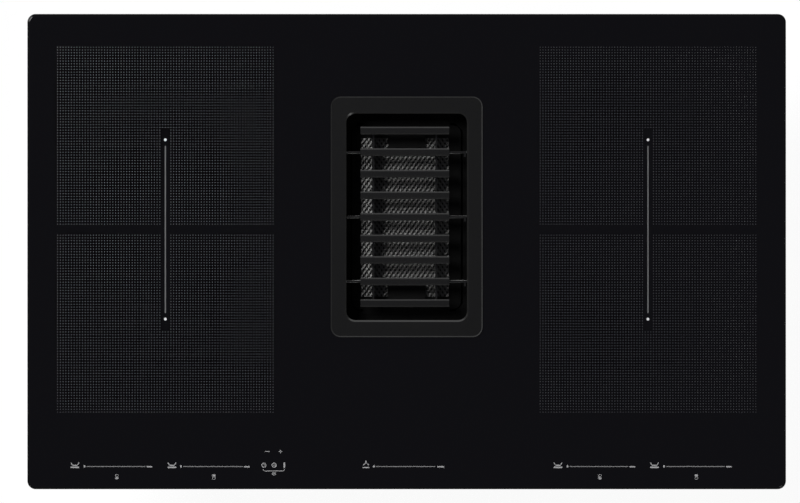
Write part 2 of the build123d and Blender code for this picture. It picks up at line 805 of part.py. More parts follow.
for side_name, side in sides:
    board_plane = Plane(origin=(side * zone_x, board_y, 0))
    # Circuit board on pillars, with its chokes, capacitors and relays
    with BuildPart() as board:
        with BuildSketch(board_plane.offset(board_z)):
            Rectangle(board_width, board_depth)
        extrude(amount=board_sheet)
        with BuildSketch(board_plane.offset(tray_floor)):
            with GridLocations(board_width - 2 * board_post, board_depth - 2 * board_post, 2, 2):
                Rectangle(board_post, board_post)
        extrude(amount=board_z - tray_floor)
        with BuildSketch(board_plane.offset(board_top)):
            with Locations((side * choke_x, choke_y)):
                with GridLocations(0, choke_pitch, 1, 2):
                    Rectangle(choke_width, choke_depth)
            with Locations((side * capacitor_x, capacitor_y)):
                with GridLocations(0, capacitor_pitch, 1, 3):
                    RegularPolygon(capacitor_radius, 8)
        extrude(amount=capacitor_height)
        with BuildSketch(board_plane.offset(board_top)):
            with Locations((-side * relay_x, 0)):
                with GridLocations(0, relay_pitch, 1, 4):
                    Rectangle(relay_width, relay_depth)
        extrude(amount=relay_height)
    board.part.label = f"power_board_{side_name}"
    export_step(board.part, f"parts/power_board_{side_name}.step")

    # Extruded aluminium heat sink with upright fins
    with BuildPart() as heatsink:
        sink_origin = (side * zone_x, board_y - heatsink_depth / 2, board_top)
        sink_plane = Plane(origin=sink_origin, x_dir=(1, 0, 0), z_dir=(0, -1, 0))
        with BuildSketch(sink_plane):
            Rectangle(heatsink_width, heatsink_base, align=(Align.CENTER, Align.MIN))
            with GridLocations((heatsink_width - fin_thickness) / (fin_count - 1), 0, fin_count, 1):
                Rectangle(fin_thickness, heatsink_height, align=(Align.CENTER, Align.MIN))
        extrude(amount=-heatsink_depth)
    heatsink.part.label = f"heatsink_{side_name}"
    export_step(heatsink.part, f"parts/heatsink_{side_name}.step")

    # Fan housing: a square frame with a round bore and a hub on four struts
    fan_plane = Plane(origin=(side * zone_x, fan_y, 0))
    with BuildPart() as fan_housing:
        with BuildSketch(fan_plane.offset(tray_floor)):
            Rectangle(fan_size, fan_size)
            RegularPolygon(fan_bore / 2, fan_sides, mode=Mode.SUBTRACT)
        extrude(amount=fan_height)
        with BuildSketch(fan_plane.offset(tray_floor)):
            RegularPolygon(fan_hub / 2, fan_sides)
            with PolarLocations(fan_hub / 2 + fan_strut_reach / 2, 4, 45):
                Rectangle(fan_strut_reach + 2, fan_strut)
        extrude(amount=fan_strut)
    fan_housing.part.label = f"cooling_fan_housing_{side_name}"
    export_step(fan_housing.part, f"parts/cooling_fan_housing_{side_name}.step")

    # Fan rotor: hub cap with pitched blades, and a round boss where it runs on its bearing
    rotor_bottom = tray_floor + fan_strut + fan_gap
    rotor_height = fan_height - fan_strut - 3 * fan_gap
    with BuildPart() as fan_rotor:
        with BuildSketch(fan_plane.offset(rotor_bottom)):
            RegularPolygon(fan_hub / 2, fan_sides)
        extrude(amount=rotor_height)
        for blade in range(fan_blades):
            turn = 360 * blade / fan_blades
            outward = Vector(1, 0, 0).rotate(Axis.Z, turn)
            across = Vector(0, 1, 0).rotate(Axis.Z, turn)
            root = fan_plane.origin + outward * fan_blade_root
            root += Vector(0, 0, rotor_bottom + rotor_height / 2)
            with BuildSketch(Plane(origin=root, x_dir=across, z_dir=outward)):
                Rectangle(fan_chord, fan_blade_thickness, rotation=fan_pitch)
            extrude(amount=fan_blade_reach)
        with BuildSketch(fan_plane.offset(rotor_bottom)):
            Circle(fan_boss_radius)
        extrude(amount=-fan_boss_height)
    fan_rotor.part.label = f"cooling_fan_rotor_{side_name}"
    export_step(fan_rotor.part, f"parts/cooling_fan_rotor_{side_name}.step")

# ---- Touch electronics -------------------------------------------------------------------

touch_plane = Plane(origin=(0, touch_y, 0))
with BuildPart() as touch_board:
    with BuildSketch(touch_plane.offset(touch_z - board_sheet)):
        Rectangle(touch_width, touch_depth)
    extrude(amount=board_sheet)
    with BuildSketch(touch_plane.offset(touch_z)):
        with GridLocations(touch_width / touch_pads, 0, touch_pads, 1):
            Rectangle(touch_pad_size, touch_pad_size)
    extrude(amount=glass_bottom - touch_z)
touch_board.part.label = "touch_board"
export_step(touch_board.part, "parts/touch_board.step")

# Holder: a channel that stands on the tray's floor and carries the touch board
with BuildPart() as touch_holder:
    with BuildSketch(touch_plane.offset(tray_floor)):
        Rectangle(touch_width + 2 * touch_wall, touch_depth)
        Rectangle(touch_width, touch_depth - 2 * touch_wall, mode=Mode.SUBTRACT)
        with GridLocations(touch_width / 4, 0, 3, 1):
            Rectangle(touch_wall, touch_depth)
    extrude(amount=touch_z - board_sheet - tray_floor)
touch_holder.part.label = "touch_board_holder"
export_step(touch_holder.part, "parts/touch_board_holder.step")

# Temperature sensors in the eyes of the four coils
with BuildPart() as sensors:
    with BuildSketch(Plane.XY.offset(former_bottom)):
        with Locations((0, zone_y)):
            with GridLocations(2 * zone_x, 2 * coil_offset, 2, 2):
                RegularPolygon(sensor_radius - sensor_gap, 6)
    extrude(amount=glass_bottom - former_bottom)
sensors.part.label = "glass_sensors"
export_step(sensors.part, "parts/glass_sensors.step")

# ---- Blower ------------------------------------------------------------------------------

# Scroll casing: floor and spiral wall, ears for the screws, a window to the rear duct
spigot_x = (scroll_left + outlet_right) / 2
spigot_z = (blower_bottom + casing_top) / 2
spigot_start = outlet_y + wall
outlet_plane = Plane(origin=(spigot_x, spigot_start, spigot_z), x_dir=(-1, 0, 0), z_dir=(0, 1, 0))
ear_reach = half_step + wall + ear_gap
ear_points = [
    (axis_x + ear_shift, axis_y + scroll_start_radius - scroll_step + ear_reach),
    (axis_x + scroll_start_radius + ear_reach, axis_y - ear_shift),
    (axis_x + corner_ear_x, axis_y - corner_ear_y),
    (axis_x - ear_shift, axis_y - scroll_start_radius - scroll_step - ear_reach),
    (outlet_right + wall + ear_gap, outlet_y - ear_shift),
]
with BuildPart() as casing:
    with BuildSketch(Plane.XY.offset(blower_bottom)):
        add(scroll_profile.sketch)
        offset(amount=wall)
    extrude(amount=casing_top - blower_bottom)
    with BuildSketch(Plane.XY.offset(casing_top)):
        with Locations(*ear_points):
            RegularPolygon(ear_radius, 6)
    extrude(amount=-ear_height)
    with BuildSketch(Plane.XY.offset(blower_bottom + wall)):
        add(scroll_profile.sketch)
    extrude(amount=casing_top - blower_bottom - wall, mode=Mode.SUBTRACT)
    with BuildSketch(outlet_plane):
        Rectangle(spigot_width - 2 * spigot_wall, spigot_height - 2 * spigot_wall)
    extrude(amount=-2 * wall, mode=Mode.SUBTRACT)
    # Raised pan that the motor stands on
    with BuildSketch(blower_plane.offset(blower_bottom + wall)):
        RegularPolygon(hub_radius, motor_sides)
        with PolarLocations(hub_radius, 6, 30):
            Rectangle(2 * motor_rib_length, wall)
    extrude(amount=motor_pan_height)
casing.part.label = "blower_casing"
export_step(casing.part, "parts/blower_casing.step")

# Inlet plate: lid of the scroll with a bell mouth that dips into the impeller's eye
with BuildPart() as inlet:
    with BuildSketch(Plane.XY.offset(casing_top)):
        add(scroll_profile.sketch)
        offset(amount=wall)
        with Locations(*ear_points):
            RegularPolygon(ear_radius, 6)
            RegularPolygon(screw_radius, 6, mode=Mode.SUBTRACT)
    extrude(amount=inlet_plate)
    with BuildSketch(blower_plane.offset(casing_top - bell_depth)):
        RegularPolygon(eye_radius + wall, bell_sides)
    extrude(amount=bell_depth)
    with BuildSketch(blower_plane.offset(casing_top - bell_depth)):
        RegularPolygon(eye_radius, bell_sides)
    extrude(amount=bell_depth + inlet_plate, mode=Mode.SUBTRACT)
    with BuildSketch(blower_plane.offset(casing_top - bell_flare + inlet_plate)):
        RegularPolygon(eye_radius, bell_sides)
    extrude(amount=bell_flare, taper=-bell_taper, mode=Mode.SUBTRACT)
inlet.part.label = "blower_inlet_plate"
export_step(inlet.part, "parts/blower_inlet_plate.step")

# Plenum: the hood over the inlet plate that leads the air from the well to the eye
with BuildSketch() as plenum_profile:
    with Locations((axis_x, axis_y)):
        RegularPolygon(plenum_half_width, plenum_sides)
    with Locations((well_side_x, axis_y)):
        Rectangle(axis_x - well_side_x, 2 * plenum_half_width, align=(Align.MIN, Align.CENTER))
with BuildPart() as plenum:
    with BuildSketch(Plane.XY.offset(casing_top + inlet_plate)):
        add(plenum_profile.sketch)
        offset(amount=wall)
        with Locations((well_side_x, axis_y)):
            Rectangle(
                3 * wall,
                3 * plenum_half_width,
                align=(Align.MAX, Align.CENTER),
                mode=Mode.SUBTRACT,
            )
    extrude(amount=plenum_height)
    with BuildSketch(Plane.XY.offset(casing_top + inlet_plate)):
        add(plenum_profile.sketch)
    extrude(amount=plenum_height - wall, mode=Mode.SUBTRACT)
plenum.part.label = "plenum_duct"
export_step(plenum.part, "parts/plenum_duct.step")

# Impeller: back disc and hub dome, forward-curved blades, top ring.  Like the motor and the
# fans, which no one sees, its round edges are many-sided prisms.
with BuildSketch() as blade_profile:
    with BuildLine():
        blade_centre = Vector(blade_centre_x, blade_centre_y)
        pressure_side = Vector(blade_curve_radius, 0)
        suction_side = Vector(blade_curve_radius - blade_thickness, 0)
        chord_angle = blade_sweep / blade_chords
        turns = [blade_start_angle + chord * chord_angle for chord in range(blade_chords + 1)]
        Polyline(
            *(blade_centre + pressure_side.rotate(Axis.Z, turn) for turn in turns),
            *(blade_centre + suction_side.rotate(Axis.Z, turn) for turn in reversed(turns)),
            close=True,
        )
    make_face()
with BuildPart() as impeller:
    with BuildSketch(blower_plane.offset(impeller_bottom)):
        RegularPolygon(impeller_radius, disc_sides)
        RegularPolygon(hub_radius - disc, motor_sides, mode=Mode.SUBTRACT)
    extrude(amount=disc)
    with BuildSketch(blower_plane.offset(impeller_bottom + disc)):
        RegularPolygon(hub_radius, 2 * motor_sides)
    extrude(amount=hub_top - impeller_bottom - disc)
    chamfer(impeller.faces().sort_by(Axis.Z)[-1].edges(), hub_bevel)
    with BuildSketch(blower_plane.offset(impeller_bottom)):
        RegularPolygon(hub_radius - disc, motor_sides)
    extrude(amount=hub_top - impeller_bottom - 2 * disc, mode=Mode.SUBTRACT)
    with BuildSketch(blower_plane.offset(hub_top)):
        Circle(shaft_radius)
    extrude(amount=-2 * disc, mode=Mode.SUBTRACT)
    with BuildSketch(blower_plane.offset(impeller_bottom + disc)):
        with PolarLocations(0, blade_count):
            add(blade_profile.sketch)
    extrude(amount=impeller_top - impeller_bottom - 2 * disc)
    with BuildSketch(blower_plane.offset(impeller_top - disc)):
        RegularPolygon(impeller_radius, disc_sides)
        RegularPolygon(impeller_radius - ring_width, blade_count, mode=Mode.SUBTRACT)
    extrude(amount=disc)
impeller.part.label = "impeller"
export_step(impeller.part, "parts/impeller.step")

# Rotor cup of the motor, pressed into the impeller's hub, with the shaft
pan_top = blower_bottom + wall + motor_pan_height
rotor_radius = hub_radius - disc - rotor_play
rotor_roof = hub_top - 2 * disc
with BuildPart() as rotor:
    with BuildSketch(blower_plane.offset(impeller_bottom)):
        RegularPolygon(rotor_radius, motor_sides)
    extrude(amount=rotor_roof - impeller_bottom)
    with BuildSketch(blower_plane.offset(impeller_bottom)):
        RegularPolygon(rotor_radius - 2 * disc, motor_sides)
    extrude(amount=rotor_roof - disc - impeller_bottom, mode=Mode.SUBTRACT)
    with BuildSketch(blower_plane.offset(pan_top + shaft_foot)):
        Circle(shaft_radius)
    extrude(amount=hub_top - pan_top - shaft_foot)
rotor.part.label = "motor_rotor"
export_step(rotor.part, "parts/motor_rotor.step")

# Stator on the casing's floor: foot, bearing tube and a core with six poles
tube_radius = shaft_radius + motor_gap + bearing_wall
core_radius = (rotor_radius - 2 * disc) * cos(radians(180 / motor_sides)) - motor_gap
with BuildPart() as stator:
    with BuildSketch(blower_plane.offset(pan_top)):
        RegularPolygon(hub_radius - 2 * disc, motor_sides)
    extrude(amount=disc)
    with BuildSketch(blower_plane.offset(pan_top + disc)):
        RegularPolygon(tube_radius, motor_sides)
    extrude(amount=rotor_roof - disc - pan_top - 2 * disc)
    with BuildSketch(blower_plane.offset(impeller_bottom + 3 * disc)):
        RegularPolygon(core_radius, motor_sides)
        with PolarLocations(core_radius, pole_count):
            Rectangle(core_radius, stator_slot, mode=Mode.SUBTRACT)
    extrude(amount=stator_height)
    with BuildSketch(blower_plane.offset(pan_top + disc)):
        Circle(shaft_radius + motor_gap)
    extrude(amount=rotor_roof - pan_top, mode=Mode.SUBTRACT)
stator.part.label = "motor_stator"
export_step(stator.part, "parts/motor_stator.step")

# Screws that hold the inlet plate on the casing
with BuildPart() as casing_screws:
    with BuildSketch(Plane.XY.offset(casing_top + inlet_plate)):
        with Locations(*ear_points):
            RegularPolygon(2 * screw_radius, 6)
    extrude(amount=screw_head)
    with BuildSketch(Plane.XY.offset(casing_top + inlet_plate)):
        with Locations(*ear_points):
            RegularPolygon(screw_radius, 6)
    extrude(amount=-inlet_plate)
casing_screws.part.label = "casing_screws"
export_step(casing_screws.part, "parts/casing_screws.step")

# ---- Rear duct connection ----------------------------------------------------------------

pin_y = spigot_start + wall + seat_height + flap_seat_gap + flap_sheet / 2
pin_z = spigot_z + spigot_height / 2 - spigot_wall - knuckle_radius - flap_clearance
hinge_plane = Plane(origin=(spigot_x, pin_y, pin_z), x_dir=(0, 1, 0), z_dir=(1, 0, 0))
with BuildPart() as spigot:
    with BuildSketch(outlet_plane):
        Rectangle(spigot_width + spigot_flange, spigot_height + spigot_flange)
    extrude(amount=wall)
    with BuildSketch(outlet_plane):
        faceted_rectangle(spigot_width, spigot_height, spigot_corner)
    extrude(amount=spigot_length)
    with BuildSketch(outlet_plane):
        Rectangle(spigot_width - 2 * spigot_wall, spigot_height - 2 * spigot_wall)
    extrude(amount=spigot_length, mode=Mode.SUBTRACT)
    # Seat that the shut flap leans on, at its sides and below
    with BuildSketch(outlet_plane.offset(wall)):
        Rectangle(spigot_width - 2 * spigot_wall, spigot_height - 2 * spigot_wall)
        with Locations((0, seat_width)):
            Rectangle(
                spigot_width - 2 * spigot_wall - 2 * seat_width,
                spigot_height - 2 * spigot_wall,
                mode=Mode.SUBTRACT,
            )
        with Locations((0, spigot_height / 2)):
            Rectangle(spigot_width, seat_top_gap, mode=Mode.SUBTRACT)
    extrude(amount=seat_height)
    with BuildSketch(hinge_plane):
        Circle(flap_pin_radius)
    extrude(amount=spigot_width, both=True, mode=Mode.SUBTRACT)
spigot.part.label = "duct_spigot"
export_step(spigot.part, "parts/duct_spigot.step")

# Hinge pin of the backdraft flap, across the top of the spigot
with BuildPart() as flap_pin:
    with BuildSketch(hinge_plane):
        Circle(flap_pin_radius)
    extrude(amount=spigot_width / 2, both=True)
flap_pin.part.label = "flap_pin"
export_step(flap_pin.part, "parts/flap_pin.step")

# Backdraft flap: a plate that hangs from its knuckle and shuts the spigot by its weight
flap_width = spigot_width - 2 * spigot_wall - 2 * flap_clearance
flap_bottom = spigot_z - spigot_height / 2 + spigot_wall + flap_clearance
with BuildPart() as flap:
    with BuildSketch(hinge_plane):
        Circle(knuckle_radius)
        Rectangle(flap_sheet, pin_z - flap_bottom, align=(Align.CENTER, Align.MAX))
        Circle(flap_pin_radius + flap_pin_gap, mode=Mode.SUBTRACT)
    extrude(amount=flap_width / 2, both=True)
    chamfer(flap.edges().filter_by(Axis.Y).group_by(Axis.Z)[0], flap_corner)
flap.part.label = "backdraft_flap"
export_step(flap.part, "parts/backdraft_flap.step")

# ---- Worktop clamps ----------------------------------------------------------------------

# Bent steel clamps on the tray's side walls; the pad presses up under the worktop
for side_name, side in sides:
    for row_name, row in rows:
        clamp_name = f"{side_name}_{row_name}"
        clamp_plane = Plane(
            origin=(side * tray_width / 2, row * clamp_y, 0), x_dir=(side, 0, 0), z_dir=(0, -side, 0)
        )
        with BuildPart() as clamp:
            with BuildSketch(clamp_plane):
                with BuildLine():
                    Polyline(
                        (0, clamp_pad_z + clamp_leg),
                        (clamp_sheet, clamp_pad_z + clamp_leg),
                        (clamp_sheet, clamp_pad_z - clamp_drop),
                        (clamp_reach - clamp_sheet, clamp_pad_z - clamp_sheet),
                        (clamp_reach - clamp_sheet, clamp_pad_z),
                        (clamp_reach, clamp_pad_z),
                        (clamp_reach, clamp_pad_z - 2 * clamp_sheet),
                        (clamp_sheet, clamp_pad_z - clamp_drop - clamp_sheet),
                        (0, clamp_pad_z - clamp_drop - clamp_sheet),
                        close=True,
                    )
                make_face()
            extrude(amount=clamp_width / 2, both=True)
            hole_plane = Plane(
                origin=(side * tray_width / 2, row * clamp_y, clamp_screw_z),
                x_dir=(0, side, 0),
                z_dir=(side, 0, 0),
            )
            with BuildSketch(hole_plane):
                RegularPolygon(clamp_screw_radius, 6)
            extrude(amount=clamp_sheet, mode=Mode.SUBTRACT)
        clamp.part.label = f"worktop_clamp_{clamp_name}"
        export_step(clamp.part, f"parts/worktop_clamp_{clamp_name}.step")

# Screws through the clamps into the tray's side walls
with BuildPart() as clamp_screws:
    for side_name, side in sides:
        wall_plane = Plane(
            origin=(side * tray_width / 2, 0, clamp_screw_z), x_dir=(0, side, 0), z_dir=(side, 0, 0)
        )
        with BuildSketch(wall_plane.offset(clamp_sheet)):
            with GridLocations(2 * clamp_y, 0, 2, 1):
                RegularPolygon(2 * clamp_screw_radius, 6)
        extrude(amount=screw_head)
        with BuildSketch(wall_plane.offset(clamp_sheet)):
            with GridLocations(2 * clamp_y, 0, 2, 1):
                RegularPolygon(clamp_screw_radius, 6)
        extrude(amount=-clamp_sheet)
clamp_screws.part.label = "clamp_screws"
export_step(clamp_screws.part, "parts/clamp_screws.step")

# ---- Mains connection --------------------------------------------------------------------

# Terminal box under the tray, open below, with a round hole for the cable gland
terminal_bottom = tray_bottom - terminal_height
terminal_plane = Plane(origin=(terminal_x, terminal_y, terminal_bottom))
gland_z = tray_bottom - terminal_height / 2
gland_wall_y = terminal_y + terminal_depth / 2
gland_plane = Plane(origin=(terminal_x, gland_wall_y, gland_z), x_dir=(-1, 0, 0), z_dir=(0, 1, 0))
with BuildPart() as terminal_box:
    with BuildSketch(terminal_plane):
        Rectangle(terminal_width, terminal_depth)
    extrude(amount=terminal_height)
    with BuildSketch(terminal_plane):
        Rectangle(terminal_width - 2 * terminal_wall, terminal_depth - 2 * terminal_wall)
    extrude(amount=terminal_height - terminal_wall, mode=Mode.SUBTRACT)
    with BuildSketch(gland_plane):
        RegularPolygon(gland_radius - gland_flange, gland_sides)
    extrude(amount=-2 * terminal_wall, mode=Mode.SUBTRACT)
terminal_box.part.label = "terminal_box"
export_step(terminal_box.part, "parts/terminal_box.step")

# Lid of the terminal box, with a bevelled edge
with BuildPart() as terminal_cover:
    with BuildSketch(terminal_plane.offset(-terminal_wall)):
        Rectangle(terminal_width + 2 * cover_overhang, terminal_depth + 2 * cover_overhang)
    extrude(amount=terminal_wall)
    chamfer(terminal_cover.faces().sort_by(Axis.Z)[0].edges(), cover_overhang)
terminal_cover.part.label = "terminal_cover"
export_step(terminal_cover.part, "parts/terminal_cover.step")

# Five-pole terminal block inside the box
block_z = tray_bottom - terminal_wall
with BuildPart() as terminal_block:
    with BuildSketch(Plane(origin=(terminal_x, terminal_y - pole_shift, block_z))):
        with GridLocations(pole_pitch, 0, terminal_poles, 1):
            Rectangle(pole_width, pole_depth)
        Rectangle((terminal_poles - 1) * pole_pitch, pole_depth / 2)
    extrude(amount=-pole_height)
terminal_block.part.label = "terminal_block"
export_step(terminal_block.part, "parts/terminal_block.step")

# Cable gland: flange, hexagonal nut and bored barrel
with BuildPart() as gland:
    with BuildSketch(gland_plane):
        RegularPolygon(gland_radius, gland_sides)
    extrude(amount=gland_flange)
    with BuildSketch(gland_plane.offset(gland_flange)):
        RegularPolygon(gland_radius - nut_inset, 6)
    extrude(amount=gland_length - gland_flange - terminal_wall)
    chamfer(gland.faces().sort_by(Axis.Y)[-1].edges(), nut_inset)
    with BuildSketch(gland_plane):
        RegularPolygon(gland_radius - gland_flange, gland_sides)
    extrude(amount=-terminal_wall)
    with BuildSketch(gland_plane.offset(-terminal_wall)):
        Circle(gland_bore_radius)
    extrude(amount=gland_length, mode=Mode.SUBTRACT)
gland.part.label = "cable_gland"
export_step(gland.part, "parts/cable_gland.step")
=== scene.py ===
import math

import bpy
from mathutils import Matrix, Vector


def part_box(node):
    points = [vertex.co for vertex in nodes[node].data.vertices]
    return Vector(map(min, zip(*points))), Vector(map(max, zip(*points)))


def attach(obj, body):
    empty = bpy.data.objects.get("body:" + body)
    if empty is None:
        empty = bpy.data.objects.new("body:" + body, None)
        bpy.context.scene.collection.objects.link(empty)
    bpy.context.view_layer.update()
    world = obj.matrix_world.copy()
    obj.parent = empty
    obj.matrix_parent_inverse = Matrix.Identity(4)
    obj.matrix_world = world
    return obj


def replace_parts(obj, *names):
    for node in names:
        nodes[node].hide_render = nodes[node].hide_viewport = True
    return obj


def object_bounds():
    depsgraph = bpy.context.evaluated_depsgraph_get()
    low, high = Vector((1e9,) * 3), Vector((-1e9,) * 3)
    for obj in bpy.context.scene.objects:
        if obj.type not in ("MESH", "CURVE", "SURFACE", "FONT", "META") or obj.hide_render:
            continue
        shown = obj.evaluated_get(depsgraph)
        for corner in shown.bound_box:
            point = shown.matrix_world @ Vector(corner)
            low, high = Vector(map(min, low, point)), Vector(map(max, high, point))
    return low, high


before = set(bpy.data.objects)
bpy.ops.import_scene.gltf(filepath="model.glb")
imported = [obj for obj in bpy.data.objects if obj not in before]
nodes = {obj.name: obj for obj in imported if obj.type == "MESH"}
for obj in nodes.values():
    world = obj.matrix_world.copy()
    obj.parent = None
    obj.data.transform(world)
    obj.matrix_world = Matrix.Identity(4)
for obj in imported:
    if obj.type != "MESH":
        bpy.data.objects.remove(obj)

cad_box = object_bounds()

# ---- Camera ------------------------------------------------------------------------------
# A long lens straight above the glass.  The view is 875 mm wide on the glass, and the middle
# of the picture lies a few millimetres left of the cooktop's own middle.

mm = 0.001
glass_face = 6 * mm
picture_width = 875.2 * mm
picture_x = -7.3 * mm
picture_y = 0.1 * mm
sensor_width = 36
lens = 120
view_limit = 50
camera_data = bpy.data.cameras.new("camera")
camera_data.lens = lens
camera_data.sensor_width = sensor_width
camera_data.clip_end = view_limit
camera = bpy.data.objects.new("camera", camera_data)
camera_height = glass_face + picture_width * lens / sensor_width
camera.location = (picture_x, picture_y, camera_height)
bpy.context.scene.collection.objects.link(camera)
bpy.context.scene.camera = camera
bpy.context.scene.view_settings.view_transform = "Standard"

# ---- Studio ------------------------------------------------------------------------------
# A pale floor under the lowest point, a room with a bright horizon, a window behind and a dim
# ceiling, a large soft lamp on the left and a weaker one in front of the right side.


class Wire:
    """An output of a shader node.  Arithmetic on it adds Math nodes."""

    def __init__(self, tree, socket):
        self.tree = tree
        self.socket = socket

    def math(self, operation, *values):
        sockets = dict(enumerate(values))
        return self.tree.node("ShaderNodeMath", {"operation": operation}, sockets)

    def __add__(self, other):
        return self.math("ADD", self, other)

    def __sub__(self, other):
        return self.math("SUBTRACT", self, other)

    def __mul__(self, other):
        return self.math("MULTIPLY", self, other)

    def __rsub__(self, other):
        return self.math("SUBTRACT", other, self)

    __radd__ = __add__
    __rmul__ = __mul__


class Finish:
    """The nodes of a material or of the room, made one after the other."""

    def __init__(self, name, family="materials", output="ShaderNodeOutputMaterial"):
        self.owner = getattr(bpy.data, family).new(name)
        self.owner.use_nodes = True
        self.nodes = self.owner.node_tree.nodes
        self.links = self.owner.node_tree.links
        self.nodes.clear()
        self.output = self.nodes.new(output)

    def node(self, kind, settings, sockets, out=0):
        made = self.nodes.new(kind)
        for key, value in settings.items():
            if key == "stops":
                set_stops(made.color_ramp, value)
            else:
                setattr(made, key, value)
        for key, value in sockets.items():
            if isinstance(value, Wire):
                self.links.new(value.socket, made.inputs[key])
            else:
                made.inputs[key].default_value = value
        return Wire(self, made.outputs[out])

    def place(self, scale=(1, 1, 1)):
        coordinates = self.node("ShaderNodeTexCoord", {}, {}, "Object")
        return self.node("ShaderNodeMapping", {}, {"Vector": coordinates, "Scale": scale})

    def noise(self, where, scale, detail):
        sockets = {"Vector": where, "Scale": scale, "Detail": detail}
        return self.node("ShaderNodeTexNoise", {}, sockets)

    def fade(self, value, start, end, first=0.0, last=1.0, shape="LINEAR"):
        """Goes from first to last while the value goes from start to end."""
        sockets = {
            "Value": value,
            "From Min": start,
            "From Max": end,
            "To Min": first,
            "To Max": last,
        }
        return self.node("ShaderNodeMapRange", {"interpolation_type": shape}, sockets)

    def blend(self, share, first, second):
        """One colour or the other, by share."""
        sockets = {0: share, 6: (*first, 1), 7: (*second, 1)}
        return self.node("ShaderNodeMix", {"data_type": "RGBA"}, sockets, 2)

    def mix(self, share, first, second):
        """One shader or the other, by share."""
        return self.node("ShaderNodeMixShader", {}, {0: share, 1: first, 2: second})

    def bump(self, height, strength, distance):
        sockets = {"Height": height, "Strength": strength, "Distance": distance}
        return self.node("ShaderNodeBump", {}, sockets)

    def principled(self, **sockets):
        named = {}
        for key, value in sockets.items():
            if isinstance(value, tuple):
                value = (*value, 1)
            named[key.replace("_", " ").title().replace("Ior", "IOR")] = value
        return self.node("ShaderNodeBsdfPrincipled", {}, named)

    def end(self, shader):
        self.links.new(shader.socket, self.output.inputs["Surface"])
        return self.owner

    def surface(self, **sockets):
        return self.end(self.principled(**sockets))


def set_stops(ramp, stops):
    """Gives a colour ramp its places and colours."""
    while len(ramp.elements) < len(stops):
        ramp.elements.new(0.5)
    for element, (position, colour) in zip(ramp.elements, stops):
        element.position = position
        element.color = (*colour, 1)


def deselect():
    """Leaves edit mode with nothing selected."""
    if bpy.context.object and bpy.context.object.mode == "EDIT":
        bpy.ops.object.mode_set(mode="OBJECT")
    bpy.ops.object.select_all(action="DESELECT")


white = (1, 1, 1, 1)
floor_size = 14
floor_z = cad_box[0].z - 1 * mm
floor_glow_share = 0.9
floor_glow_strength = 1.03
floor_finish = Finish("studio_floor")
floor_seen = floor_finish.node("ShaderNodeLightPath", {}, {}, "Is Camera Ray")
floor_paint = floor_finish.principled(base_color=(0.86, 0.86, 0.86), roughness=0.9)
floor_glow = floor_finish.node(
    "ShaderNodeEmission", {}, {"Color": white, "Strength": floor_glow_strength}
)
deselect()
bpy.ops.mesh.primitive_plane_add(size=floor_size, location=(0, 0, floor_z))
floor = bpy.context.object
floor.name = "studio_floor"
floor.data.materials.append(
    floor_finish.end(floor_finish.mix(floor_seen * floor_glow_share, floor_paint, floor_glow))
)

room = Finish("room", "worlds", "ShaderNodeOutputWorld")
bpy.context.scene.world = room.owner
direction = room.node("ShaderNodeTexCoord", {}, {}, "Generated")
right, rear, height = (
    room.node("ShaderNodeSeparateXYZ", {}, {0: direction}, axis) for axis in "XYZ"
)


def glow(strength, colour=white):
    """Plain light from far away."""
    return room.node("ShaderNodeBackground", {}, {"Color": colour, "Strength": strength})


def lamp(behind, towards, half_angle, strength):
    """The room with a far round lamp in front of it, bright to its soft edge."""
    soft_edge = 2
    facing = room.node(
        "ShaderNodeVectorMath",
        {"operation": "DOT_PRODUCT"},
        {0: direction, 1: Vector(towards).normalized()},
        "Value",
    )
    outer, inner = (
        math.cos(math.radians(half_angle + change)) for change in (soft_edge, -soft_edge)
    )
    share = room.fade(facing, outer, inner, shape="SMOOTHSTEP")
    return room.mix(share, behind, glow(strength))


ceiling_stops = [
    (0.3, (0.14, 0.14, 0.14)),
    (0.75, (0.18, 0.18, 0.185)),
    (0.95, (0.07, 0.07, 0.085)),
]
ceiling = room.node("ShaderNodeValToRGB", {"stops": ceiling_stops}, {0: height})
window_from, window_full, window_strength = 0.6, 0.86, 1.4
window_share = room.fade(rear, window_from, window_full, shape="SMOOTHSTEP")
horizon_full, horizon_to = 0.1, 0.18
horizon_share = room.fade(height, horizon_full, horizon_to, first=1.0, last=0.0)
horizon_strength = right * 0.45 - rear * 0.35 + 0.8
left_lamp = (-1.54, 1.0, 2.19)
front_lamp = (1.3, -2.0, 1.6)
lit_room = room.mix(window_share, glow(1.0, ceiling), glow(window_strength))
lit_room = room.mix(horizon_share, lit_room, glow(horizon_strength))
lit_room = lamp(lit_room, left_lamp, half_angle=13, strength=15.8)
lit_room = lamp(lit_room, front_lamp, half_angle=15, strength=3.4)
to_camera = room.node("ShaderNodeLightPath", {}, {}, "Is Camera Ray")
room.end(room.mix(to_camera, lit_room, glow(1.0)))

# ---- Glass -------------------------------------------------------------------------------
# One plate of black glass-ceramic, 4 mm thick, polished, with a ground bevel all round, which
# is duller than the face.  It lies on a foam strip on the worktop.

bevel_starts = 5.98 * mm
bevel_ground = 5.9 * mm


def dress(finish, *names):
    """Gives the named solids a finish."""
    for name in names:
        slots = nodes[name].data.materials
        for index in range(len(slots)):
            slots[index] = finish


